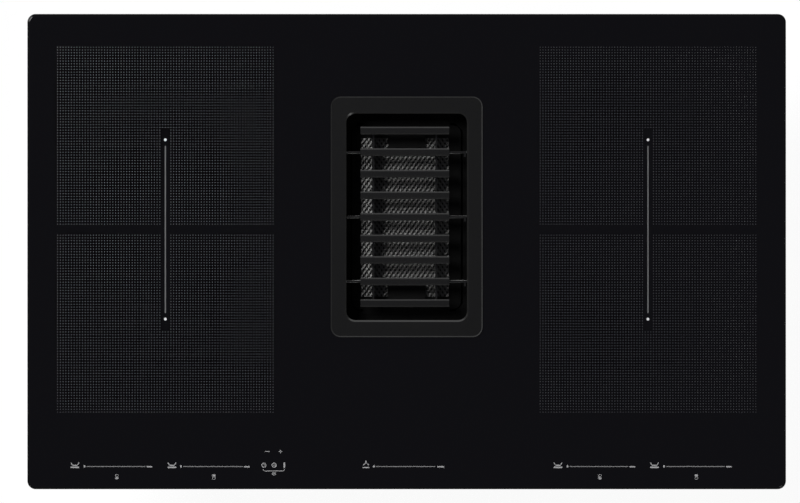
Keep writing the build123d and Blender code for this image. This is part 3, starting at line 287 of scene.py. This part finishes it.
glass = Finish("black_glass")
glass_place = glass.place()
ripple = glass.noise(glass_place, scale=9.0, detail=1.0)
smears = glass.noise(glass_place, scale=35.0, detail=4.0)
glass_height = glass.node("ShaderNodeSeparateXYZ", {}, {"Vector": glass_place}, "Z")
ground_share = glass.fade(glass_height, bevel_ground, bevel_starts, first=1.0, last=0.0)
polished_face = glass.principled(
    base_color=(0.0021, 0.0020, 0.0026),
    roughness=0.055 + smears * 0.03,
    specular_ior_level=0.5,
    ior=1.52,
    normal=glass.bump(ripple, strength=0.05, distance=0.0004),
)
ground_bevel = glass.principled(
    base_color=(0.004, 0.004, 0.0045),
    roughness=0.105 + smears * 0.03,
    specular_ior_level=0.05,
)
dress(glass.end(glass.mix(ground_share, polished_face, ground_bevel)), "glass_top")

foam = Finish("foam")
foam_cells = foam.noise(foam.place(), scale=2600.0, detail=3.0)
foam_finish = foam.surface(
    base_color=foam.blend(foam_cells, (0.012, 0.012, 0.012), (0.03, 0.03, 0.03)),
    roughness=0.95,
    normal=foam.bump(foam_cells, strength=0.8, distance=0.0004),
)
dress(foam_finish, "worktop_gasket")

# ---- Printed cooking zones ---------------------------------------------------------------
# Two tall fields of fine dots in a silver-grey lustre, fired on the glass.  Each has a blank
# gap across its middle and a blank strip down its centre, where the bridge line lies.

zone_x = 264 * mm
zone_y = 24 * mm
dot_pitch = 3.024 * mm
dot_columns = 79
dot_rows = 65
first_row = 2
dot_radius = 0.7 * mm
dot_corners = 6
print_height = 0.06 * mm
print_sunk = 0.02 * mm
print_z = glass_face - print_sunk + print_height / 2
strip_half_width = 1.5 * dot_pitch
strip_half_length = 110 * mm


def apply_place():
    """Puts the active piece's place, turn and scale in its mesh."""
    bpy.ops.object.transform_apply(location=True, rotation=True, scale=True)


def settle(name, body, finish):
    """Names the active piece, puts its place in its mesh and gives it its body and finish."""
    piece = bpy.context.object
    if piece.mode == "EDIT":
        bpy.ops.object.mode_set(mode="OBJECT")
    apply_place()
    piece.name = name
    piece.data.name = name
    piece.data.materials.clear()
    piece.data.materials.append(finish)
    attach(piece, body)
    return piece


def repeat(count, step):
    """Repeats the active piece along a line."""
    modifier = bpy.context.object.modifiers.new("repeat", "ARRAY")
    modifier.count = count
    modifier.use_relative_offset = False
    modifier.use_constant_offset = True
    modifier.constant_offset_displace = step
    bpy.ops.object.modifier_apply(modifier=modifier.name)


def choose(kind, test):
    """Goes into edit mode with only the vertices, edges or faces chosen that pass the test."""
    mesh = bpy.context.object.data
    bpy.ops.object.mode_set(mode="EDIT")
    bpy.ops.mesh.select_mode(type=kind)
    bpy.ops.mesh.select_all(action="DESELECT")
    bpy.ops.object.mode_set(mode="OBJECT")
    parts = {"VERT": mesh.vertices, "EDGE": mesh.edges, "FACE": mesh.polygons}
    for part in parts[kind]:
        part.select = bool(test(part))
    bpy.ops.object.mode_set(mode="EDIT")


dot_lustre = Finish("dot_lustre")
lustre_grains = dot_lustre.noise(dot_lustre.place(), scale=900.0, detail=3.0)
dot_finish = dot_lustre.surface(
    base_color=dot_lustre.blend(lustre_grains, (0.31, 0.31, 0.315), (0.37, 0.37, 0.376)),
    metallic=1.0,
    roughness=0.275 + lustre_grains * 0.02,
)
for side_name, side in (("left", -1), ("right", 1)):
    for row_name, row in (("rear", 1), ("front", -1)):
        first_x = side * zone_x - (dot_columns - 1) / 2 * dot_pitch
        first_y = zone_y + row * first_row * dot_pitch
        deselect()
        bpy.ops.mesh.primitive_cone_add(
            vertices=dot_corners,
            radius1=dot_radius,
            radius2=0,
            depth=print_height,
            location=(first_x, first_y, print_z),
        )
        apply_place()
        repeat(dot_columns, (dot_pitch, 0, 0))
        repeat(dot_rows, (0, row * dot_pitch, 0))
        choose(
            "VERT",
            lambda vertex: abs(vertex.co.x - side * zone_x) < strip_half_width
            and abs(vertex.co.y - zone_y) < strip_half_length,
        )
        bpy.ops.mesh.delete(type="VERT")
        settle(f"zone_dots_{side_name}_{row_name}", "chassis", dot_finish)

# ---- Bridge lines ------------------------------------------------------------------------
# A line down each zone's centre, which shows where its two halves join into one.  It is
# printed in mid-grey enamel, and ends short of a pale dot at the rear and one at the front.

bridge_top = 115.7 * mm
bridge_bottom = -67.3 * mm
bridge_width = 1.35 * mm
bridge_dots = (122.3 * mm, -73.8 * mm)
bridge_dot_width = 3.0 * mm


def enamel(name, dark, light, roughness):
    """Enamel printed on the glass, with a fine grain."""
    finish = Finish(name)
    grains = finish.noise(finish.place(), scale=900.0, detail=3.0)
    return finish.surface(
        base_color=finish.blend(grains, dark, light),
        roughness=roughness + grains * 0.1,
        normal=finish.bump(grains, strength=0.25, distance=0.00003),
    )


def stroke(first, last, width):
    """A printed bar with round ends between two points on the glass."""
    end_rounding = 0.46
    first, last = Vector(first), Vector(last)
    run = last - first
    deselect()
    bpy.ops.mesh.primitive_cube_add(
        size=1,
        location=((first.x + last.x) / 2, (first.y + last.y) / 2, print_z),
        rotation=(0, 0, math.atan2(run.y, run.x)),
        scale=(run.length + width, width, print_height),
    )
    apply_place()
    places = bpy.context.object.data.vertices

    def upright(edge):
        low, high = (places[index].co for index in edge.vertices)
        return (low - high).xy.length < print_height / 4

    choose("EDGE", upright)
    bpy.ops.mesh.bevel(offset=width * end_rounding, segments=3, affect="EDGES")
    bpy.ops.object.mode_set(mode="OBJECT")
    return bpy.context.object


def spot(centre, width, depth):
    """A printed round or oval spot."""
    deselect()
    bpy.ops.mesh.primitive_cylinder_add(
        vertices=20,
        radius=0.5,
        depth=print_height,
        location=(*centre, print_z),
        scale=(width, depth, 1),
    )
    return bpy.context.object


def join(pieces):
    """Makes one piece of several."""
    deselect()
    for piece in pieces:
        piece.select_set(True)
    bpy.context.view_layer.objects.active = pieces[0]
    bpy.ops.object.join()


grey_enamel = enamel("grey_enamel", (0.095, 0.095, 0.098), (0.12, 0.12, 0.124), 0.4)
white_enamel = enamel("white_enamel", (0.6, 0.6, 0.61), (0.72, 0.72, 0.73), 0.4)
for side_name, side in (("left", -1), ("right", 1)):
    bridge_x = side * zone_x
    front_end = (bridge_x, bridge_bottom + bridge_width / 2)
    rear_end = (bridge_x, bridge_top - bridge_width / 2)
    stroke(front_end, rear_end, bridge_width)
    settle(f"bridge_line_{side_name}", "chassis", grey_enamel)
    join([spot((bridge_x, dot_y), bridge_dot_width, bridge_dot_width) for dot_y in bridge_dots])
    settle(f"bridge_dots_{side_name}", "chassis", white_enamel)

# ---- Printed controls --------------------------------------------------------------------
# Touch controls along the front edge, in pale enamel: four zone sliders with a pan and a zone
# symbol each, the fan slider with a hood symbol, and a timer group with its bracket.  Their
# places are given in the picture's pixels, and their widths in millimetres.

glass_pixel_x = 407.2
glass_pixel_y = 251.6
pixel_width = 1.094 * mm
pixel_depth = 1.0957 * mm
slider_y = 466.2
slider_width = 0.9
slider_zero_y = 466.0
slider_end_y = 466.4
slider_end_from = 2.2
slider_end_to = 6.6
slider_end_width = 1.5
pan_y = 464.8
zone_symbol_shift = 0.8
zone_symbol_y = 476.5
zone_frame_step = 1.35
zone_frame_half_width = 1.45
zone_frame_half_depth = 0.95
zone_frame_line = 0.4
zone_filled_line = 1.5
zone_filled_inset = 0.8
dial_y = 464.8
dial_radius = 2.3
dial_line = 0.85
control_enamel = enamel("control_enamel", (0.15, 0.15, 0.153), (0.18, 0.18, 0.184), 0.45)
mark_enamel = enamel("mark_enamel", (0.27, 0.27, 0.274), (0.34, 0.34, 0.345), 0.45)


def at(x, y):
    """A point on the glass from its place in the picture."""
    return ((x - glass_pixel_x) * pixel_width, (glass_pixel_y - y) * pixel_depth)


def bar(x0, y0, x1, y1, width):
    """A stroke between two places in the picture."""
    return stroke(at(x0, y0), at(x1, y1), width * mm)


def oval(x, y, width, depth):
    """A spot at a place in the picture."""
    return spot(at(x, y), width * mm, depth * mm)


def ring(x, y, radius, width):
    """A printed ring."""
    deselect()
    bpy.ops.mesh.primitive_torus_add(
        major_segments=24,
        minor_segments=6,
        major_radius=radius * mm,
        minor_radius=width * mm / 2,
        location=(*at(x, y), glass_face),
    )
    made = bpy.context.object
    made.scale = (1, 1, 2 * (print_height - print_sunk) / (width * mm))
    return made


def pan(x):
    """A pan seen from the front: bar, body and two slanted handles."""
    return [
        bar(x - 3.6, pan_y + 2.2, x + 3.6, pan_y + 2.2, 1.7),
        bar(x - 2.0, pan_y + 0.2, x + 2.0, pan_y + 0.2, 1.3),
        bar(x - 3.9, pan_y - 2.3, x - 2.9, pan_y - 0.6, 0.9),
        bar(x + 3.9, pan_y - 2.3, x + 2.9, pan_y - 0.6, 0.9),
    ]


def zone_symbol(x, lit):
    """The zone pair: two stacked frames, the chosen one filled."""
    x0, x1 = x - zone_frame_half_width, x + zone_frame_half_width
    pieces = []
    for row in (-1, 1):
        y = zone_symbol_y + row * zone_frame_step
        y0, y1 = y - zone_frame_half_depth, y + zone_frame_half_depth
        corners = ((x0, y0), (x1, y0), (x1, y1), (x0, y1))
        for first, last in zip(corners, corners[1:] + corners[:1]):
            pieces.append(bar(*first, *last, zone_frame_line))
        if row == lit:
            filled_x0, filled_x1 = x0 + zone_filled_inset, x1 - zone_filled_inset
            pieces.append(bar(filled_x0, y, filled_x1, y, zone_filled_line))
    return pieces


# name, places of the pan, the zero and the line's two ends, and the filled frame's row
sliders = (
    ("left_front", 75.5, 85.0, 87.6, 145.5, 1),
    ("left_rear", 172.5, 181.5, 184.2, 243.0, -1),
    ("right_front", 558.5, 568.0, 570.6, 628.5, 1),
    ("right_rear", 655.0, 664.5, 667.2, 725.0, -1),
)
for name, pan_x, zero_x, start_x, end_x, lit in sliders:
    bar(start_x, slider_y, end_x, slider_y, slider_width)
    settle(f"slider_{name}", "chassis", control_enamel)
    mark_x0, mark_x1 = end_x + slider_end_from, end_x + slider_end_to
    marks = pan(pan_x) + [
        oval(zero_x, slider_zero_y, 2.0, 2.8),
        bar(mark_x0, slider_end_y, mark_x1, slider_end_y, slider_end_width),
    ]
    join(marks + zone_symbol((start_x + end_x) / 2 + zone_symbol_shift, lit))
    settle(f"slider_marks_{name}", "chassis", mark_enamel)

bar(376.5, slider_y, 435.5, slider_y, slider_width)
settle("slider_fan", "chassis", control_enamel)
fan_ends = [
    oval(374.4, slider_zero_y, 2.3, 2.6),
    bar(438.4, slider_end_y, 444.0, slider_end_y, slider_end_width),
]
hood = [
    bar(363.6, 467.2, 369.4, 467.2, 1.2),
    bar(363.8, 464.6, 365.6, 463.2, 0.9),
    bar(369.2, 464.6, 367.4, 463.2, 0.9),
    bar(365.6, 463.0, 367.4, 463.0, 0.9),
    bar(366.5, 462.4, 366.5, 460.8, 1.3),
]
join(fan_ends + hood)
settle("slider_marks_fan", "chassis", mark_enamel)

minus_and_plus = [
    bar(265.9, 451.2, 270.1, 451.2, 0.7),
    bar(279.6, 451.3, 282.6, 451.3, 0.7),
    bar(281.1, 449.9, 281.1, 452.7, 0.7),
]
dials = [
    ring(264.4, dial_y, dial_radius, dial_line),
    bar(264.4, dial_y, 264.4, 463.6, 0.5),
    bar(264.4, dial_y, 265.4, dial_y, 0.5),
    ring(274.6, dial_y, dial_radius, dial_line),
    bar(273.8, dial_y, 275.4, dial_y, 0.6),
]
side_bar = [bar(284.8, 462.9, 284.8, 466.8, 1.9)]
bracket = [
    bar(263.6, 469.2, 264.6, 470.6, 0.7),
    bar(264.6, 470.6, 284.4, 470.6, 0.7),
    bar(284.4, 470.6, 285.0, 469.0, 0.7),
]
bracket_symbol = [
    bar(272.9, 472.2, 276.1, 472.2, 0.5),
    bar(272.9, 474.6, 276.1, 474.6, 0.5),
    bar(272.9, 472.2, 272.9, 474.6, 0.5),
    bar(276.1, 472.2, 276.1, 474.6, 0.5),
    oval(274.5, 473.4, 1.6, 1.4),
]
join(minus_and_plus + dials + side_bar + bracket + bracket_symbol)
settle("timer_marks", "chassis", mark_enamel)

# ---- Trim frame --------------------------------------------------------------------------
# Cast aluminium frame, bead-blasted and painted matt black, glued on the glass with a bead of
# black silicone.  Its edges are machined, so they shine a little.


def painted_metal(name, dark, light, roughness, specular=0.5):
    """A thin coat of dark paint or enamel, a little uneven in tone and grainy to the touch."""
    finish = Finish(name)
    where = finish.place()
    grains = finish.noise(where, scale=1400.0, detail=2.0)
    clouds = finish.noise(where, scale=24.0, detail=3.0)
    return finish.surface(
        base_color=finish.blend(clouds, dark, light),
        roughness=roughness + grains * 0.08,
        specular_ior_level=specular,
        normal=finish.bump(grains, strength=0.25, distance=0.00005),
    )


def shade(colour, factor):
    """A darker or lighter tone of a colour."""
    return tuple(factor * part for part in colour)


def rubber(name, colour):
    """Cured silicone, dull and slightly grainy."""
    finish = Finish(name)
    grains = finish.noise(finish.place(), scale=500.0, detail=3.0)
    return finish.surface(
        base_color=finish.blend(grains, colour, shade(colour, 1.5)),
        roughness=0.55 + grains * 0.15,
        normal=finish.bump(grains, strength=0.3, distance=0.0001),
    )


trim_coat = painted_metal("trim_black", (0.0045, 0.0045, 0.0045), (0.006, 0.006, 0.0057), 0.2)
dress(trim_coat, "trim_frame")
dress(rubber("silicone", (0.01, 0.01, 0.01)), "trim_seal", "well_seal")

# ---- Grille ------------------------------------------------------------------------------
# Nine steel slats, welded on two rails and on six lugs whose feet stand on the well's ledge,
# with a satin black enamel coat.  The grille lifts out for cleaning.

grille_coat = painted_metal(
    "grille_black", (0.0045, 0.0045, 0.0044), (0.006, 0.006, 0.0058), 0.22
)
dress(grille_coat, "grille_slats", "grille_supports")

# ---- Rail webs ---------------------------------------------------------------------------
# Each of the grille's two rails is a deep steel strip on edge.  Its web reaches down below the
# slats, almost to the filter's mesh, and its ends are cut off at a slant.

web_thickness = 2.0 * mm
web_length = 188 * mm
web_top = -11.3 * mm
web_bottom = -22.2 * mm
web_y = 38 * mm
web_cut = 6 * mm
web_edge = 0.3 * mm
web_near = 1 * mm
for side_name, web_x in (("left", -36.5 * mm), ("right", 32.5 * mm)):
    deselect()
    bpy.ops.mesh.primitive_cube_add(
        size=1,
        location=(web_x, web_y, (web_top + web_bottom) / 2),
        scale=(web_thickness, web_length, web_top - web_bottom),
    )
    apply_place()
    places = bpy.context.object.data.vertices

    def lower_corner(edge):
        first, last = (places[index].co for index in edge.vertices)
        across = abs(first.y - last.y) < web_near
        return across and max(first.z, last.z) < web_bottom + web_near

    choose("EDGE", lower_corner)
    bpy.ops.mesh.bevel(offset=web_cut, segments=1, affect="EDGES")
    bpy.ops.mesh.select_all(action="SELECT")
    bpy.ops.mesh.bevel(offset=web_edge, segments=1, affect="EDGES")
    settle(f"rail_web_{side_name}", "grille", grille_coat)

# ---- Lug sleeves -------------------------------------------------------------------------
# Sleeves of grey silicone, pushed over the grille's six lugs so that it sits tight in the
# well and does not rattle.  Their pale grey is a painted highlight, which stands in for the
# light that catches the lugs.

sleeve_radius = 1.4 * mm
sleeve_z = -4.3 * mm
sleeve_dish = 0.5 * mm
lug_pitch = 70.8 * mm
sleeve_ends = (("left", -50.6 * mm, -65.4 * mm), ("right", 46.6 * mm, 65.4 * mm))
# The sleeves' pale grey colour is a painted highlight on the lugs, not their lighting.
sleeve_painted_highlight = rubber("sleeve_painted_highlight", (0.24, 0.24, 0.236))
for side_name, inner_end, outer_end in sleeve_ends:
    for row_name, row in (("rear", 1), ("middle", 0), ("front", -1)):
        deselect()
        bpy.ops.mesh.primitive_cylinder_add(
            vertices=16,
            radius=sleeve_radius,
            depth=abs(outer_end - inner_end),
            location=((inner_end + outer_end) / 2, web_y + row * lug_pitch, sleeve_z),
            rotation=(0, math.pi / 2, 0),
        )
        apply_place()
        choose("FACE", lambda face: abs(face.normal.x) > 0.9)
        bpy.ops.mesh.inset(thickness=sleeve_dish, depth=sleeve_dish)
        settle(f"lug_sleeve_{side_name}_{row_name}", "grille", sleeve_painted_highlight)

# ---- Filter cassette ---------------------------------------------------------------------
# Grease filter: a folded stainless frame round a sheet of expanded metal, whose strands stand
# at a slant and cross in diamonds, with a baffle sheet below and two moulded finger plates.

mesh_low, mesh_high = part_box("filter_mesh")
diamond_x = 5.0 * mm
diamond_y = 7.0 * mm
strand_width = 2.3 * mm
strand_thickness = 0.3 * mm
strand_tilt = math.radians(11)
strand_angle = math.atan2(diamond_y, diamond_x)
bond_x = 2.3 * mm
bond_y = 39.0 * mm
sheet_size = mesh_high - mesh_low
strand_length = sheet_size.y / math.sin(strand_angle) + 2 * diamond_y
half_spread = sheet_size.x / 2 + sheet_size.y / 2 / math.tan(strand_angle)
strands_each_side = math.ceil(half_spread / diamond_x) + 1
sheet_edges = (
    ((mesh_low.x, 0, 0), (-1, 0, 0)),
    ((mesh_high.x, 0, 0), (1, 0, 0)),
    ((0, mesh_low.y, 0), (0, -1, 0)),
    ((0, mesh_high.y, 0), (0, 1, 0)),
)
directions = []
for turn in (strand_angle, -strand_angle):
    first_x = bond_x - strands_each_side * diamond_x
    deselect()
    bpy.ops.mesh.primitive_cube_add(
        size=1,
        location=(first_x, bond_y, (mesh_low.z + mesh_high.z) / 2),
        rotation=(-strand_tilt, 0, turn),
        scale=(strand_length, strand_width, strand_thickness),
    )
    apply_place()
    bpy.ops.object.mode_set(mode="EDIT")
    bpy.ops.mesh.select_all(action="SELECT")
    bpy.ops.mesh.bevel(offset=strand_thickness / 4, segments=1, affect="EDGES")
    bpy.ops.object.mode_set(mode="OBJECT")
    repeat(2 * strands_each_side + 1, (diamond_x, 0, 0))
    bpy.ops.object.mode_set(mode="EDIT")
    for point, outwards in sheet_edges:
        bpy.ops.mesh.select_all(action="SELECT")
        bpy.ops.mesh.bisect(plane_co=point, plane_no=outwards, clear_outer=True, use_fill=True)
    bpy.ops.object.mode_set(mode="OBJECT")
    directions.append(bpy.context.object)
join(directions)


def steel(name, dark, light, roughness, stretch=(1, 1, 1)):
    """Bare or brushed metal: scratches run along the short stretch."""
    finish = Finish(name)
    lines = finish.noise(finish.place(stretch), scale=900.0, detail=3.0)
    clouds = finish.noise(finish.place(), scale=18.0, detail=3.0)
    return finish.surface(
        base_color=finish.blend(clouds, dark, light),
        metallic=1.0,
        roughness=roughness + lines * 0.14,
        normal=finish.bump(lines, strength=0.3, distance=0.00004),
    )


def moulded(name, colour, roughness, grain=700.0, depth=0.4, specular=0.5):
    """Moulded plastic with a fine spark-eroded grain."""
    finish = Finish(name)
    where = finish.place()
    grains = finish.noise(where, scale=grain, detail=2.0)
    clouds = finish.noise(where, scale=12.0, detail=2.0)
    return finish.surface(
        base_color=finish.blend(clouds, shade(colour, 0.88), shade(colour, 1.12)),
        roughness=roughness + grains * 0.12,
        specular_ior_level=specular,
        normal=finish.bump(grains, strength=depth, distance=0.00008),
    )


filter_steel = steel("filter_steel", (0.08, 0.08, 0.078), (0.12, 0.12, 0.117), 0.36)
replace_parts(settle("expanded_mesh", "filter", filter_steel), "filter_mesh")
dress(filter_steel, "filter_mesh")
filter_coat = painted_metal(
    "filter_coat", (0.0012, 0.0012, 0.0012), (0.002, 0.002, 0.002), 0.5, specular=0.06
)
dress(filter_coat, "filter_frame", "filter_baffle")
handle_plastic = moulded("handle_plastic", (0.003, 0.003, 0.003), 0.5, specular=0.1)
dress(handle_plastic, "filter_handle_rear", "filter_handle_front")

# ---- Filter well -------------------------------------------------------------------------
# Deep moulded box in black heat-proof plastic, with a shallow bowl pushed on below it that
# catches what boils over.

dress(moulded("well_plastic", (0.002, 0.002, 0.002), 0.55, specular=0.05), "filter_well")
dress(moulded("tray_plastic", (0.03, 0.03, 0.032), 0.42), "overflow_tray")

# ---- Steel tray --------------------------------------------------------------------------
# Folded from zinc-coated sheet, with the coat's faint spangle, air slots under the two fans
# and in the rear wall, and spring-steel clamps screwed to its sides.


def zinc(name, dark, light, roughness):
    """Zinc coat with a spangle of cells, each in its own tone."""
    finish = Finish(name)
    where = finish.place()
    cells = finish.node(
        "ShaderNodeTexVoronoi",
        {"feature": "F1"},
        {"Vector": where, "Scale": 70.0, "Randomness": 1.0},
        "Color",
    )
    tone = finish.node("ShaderNodeSeparateColor", {}, {0: cells})
    grains = finish.noise(where, scale=600.0, detail=2.0)
    return finish.surface(
        base_color=finish.blend(tone, dark, light),
        metallic=1.0,
        roughness=roughness + tone * 0.1 + grains * 0.06,
        normal=finish.bump(grains, strength=0.15, distance=0.00005),
    )


dress(zinc("zinc_steel", (0.5, 0.51, 0.52), (0.64, 0.65, 0.66), 0.36), "hob_tray")
spring_steel = steel(
    "spring_steel", (0.42, 0.42, 0.41), (0.52, 0.52, 0.5), 0.3, stretch=(1, 1, 0.05)
)
for side_name in ("left", "right"):
    dress(spring_steel, f"worktop_clamp_{side_name}_rear", f"worktop_clamp_{side_name}_front")
screw_steel = steel("screw_steel", (0.5, 0.49, 0.46), (0.6, 0.59, 0.56), 0.28)
dress(screw_steel, "clamp_screws", "casing_screws")

# ---- Coils -------------------------------------------------------------------------------
# Four oblong coils of varnished litz wire on black formers, with ferrite bars below and a
# ceramic sensor in the eye, under mica sheets.  Two aluminium carriers press them up against
# the glass.

copper = Finish("copper_wire")
copper_place = copper.place()
copper_turns = copper.node(
    "ShaderNodeTexWave",
    {"wave_type": "RINGS", "rings_direction": "Z"},
    {"Vector": copper_place, "Scale": 55.0, "Distortion": 0.4},
)
copper_twist = copper.noise(copper_place, scale=1500.0, detail=2.0)
copper_wire = copper.surface(
    base_color=copper.blend(copper_turns, (0.2, 0.07, 0.025), (0.48, 0.2, 0.08)),
    metallic=0.8,
    roughness=0.4 + copper_twist * 0.15,
    normal=copper.bump(copper_turns, strength=0.8, distance=0.0006),
)


def stone(name, dark, light, roughness, scale):
    """Fired or split mineral, speckled."""
    finish = Finish(name)
    grains = finish.noise(finish.place(), scale=scale, detail=4.0)
    return finish.surface(
        base_color=finish.blend(grains, dark, light),
        roughness=roughness,
        normal=finish.bump(grains, strength=0.4, distance=0.0001),
    )


ferrite = stone("ferrite", (0.02, 0.02, 0.022), (0.045, 0.045, 0.048), 0.6, scale=450.0)
ceramic = stone("ceramic", (0.62, 0.6, 0.55), (0.74, 0.72, 0.67), 0.5, scale=300.0)
mica = stone("mica", (0.34, 0.3, 0.2), (0.5, 0.45, 0.32), 0.35, scale=120.0)
former_plastic = moulded("former_plastic", (0.02, 0.02, 0.022), 0.5)
aluminium = steel(
    "aluminium_sheet", (0.66, 0.67, 0.68), (0.76, 0.77, 0.78), 0.32, stretch=(1, 0.04, 1)
)
dress(ceramic, "glass_sensors")
dress(mica, "insulation_sheets")
for side_name in ("left", "right"):
    dress(aluminium, f"coil_carrier_{side_name}")
    for row_name in ("rear", "front"):
        dress(copper_wire, f"coil_winding_{side_name}_{row_name}")
        dress(ferrite, f"coil_ferrites_{side_name}_{row_name}")
        dress(former_plastic, f"coil_former_{side_name}_{row_name}")

# ---- Electronics -------------------------------------------------------------------------
# Two green power boards on the tray's floor, each with a finned aluminium heat sink and a
# small moulded fan, and the touch board in its holder under the glass's front edge.

board_green = Finish("board_green")
board_place = board_green.place()
copper_runs = board_green.node(
    "ShaderNodeTexBrick",
    {},
    {"Vector": board_place, "Scale": 90.0, "Mortar Size": 0.1},
    "Fac",
)
board_grain = board_green.noise(board_place, scale=300.0, detail=3.0)
board_finish = board_green.surface(
    base_color=board_green.blend(copper_runs, (0.02, 0.11, 0.04), (0.05, 0.2, 0.08)),
    roughness=0.35 + board_grain * 0.15,
    normal=board_green.bump(copper_runs, strength=0.3, distance=0.0001),
)
fan_plastic = moulded("fan_plastic", (0.016, 0.016, 0.018), 0.4)
dress(board_finish, "touch_board", "power_board_left", "power_board_right")
dress(former_plastic, "touch_board_holder")
dress(aluminium, "heatsink_left", "heatsink_right")
for side_name in ("left", "right"):
    dress(fan_plastic, f"cooling_fan_housing_{side_name}", f"cooling_fan_rotor_{side_name}")

# ---- Blower ------------------------------------------------------------------------------
# Scroll casing and inlet plate moulded in grey flame-proof plastic, a plenum hood that leads
# the air from the well, and a wheel with curved blades on an external-rotor motor.  A thin
# flap on a steel pin shuts the flat spigot at the rear.

casing_plastic = moulded("casing_plastic", (0.035, 0.036, 0.038), 0.48, grain=420.0, depth=0.5)
dress(casing_plastic, "blower_casing", "blower_inlet_plate", "plenum_duct", "duct_spigot")
dress(moulded("impeller_plastic", (0.02, 0.02, 0.022), 0.42), "impeller")
motor_steel = steel("motor_steel", (0.3, 0.3, 0.31), (0.42, 0.42, 0.43), 0.35)
dress(motor_steel, "motor_stator", "motor_rotor")
dress(moulded("flap_plastic", (0.05, 0.05, 0.053), 0.45), "backdraft_flap")
pin_steel = steel(
    "pin_steel", (0.55, 0.55, 0.55), (0.62, 0.62, 0.62), 0.22, stretch=(0.05, 1, 1)
)
dress(pin_steel, "flap_pin")

# ---- Mains connection --------------------------------------------------------------------
# Terminal box in white-grey plastic with its lid, a screw terminal block inside and a black
# cable gland.

dress(moulded("terminal_plastic", (0.4, 0.4, 0.39), 0.42), "terminal_box", "terminal_cover")
dress(moulded("block_plastic", (0.5, 0.49, 0.45), 0.4), "terminal_block")
dress(moulded("gland_plastic", (0.018, 0.018, 0.018), 0.45), "cable_gland")
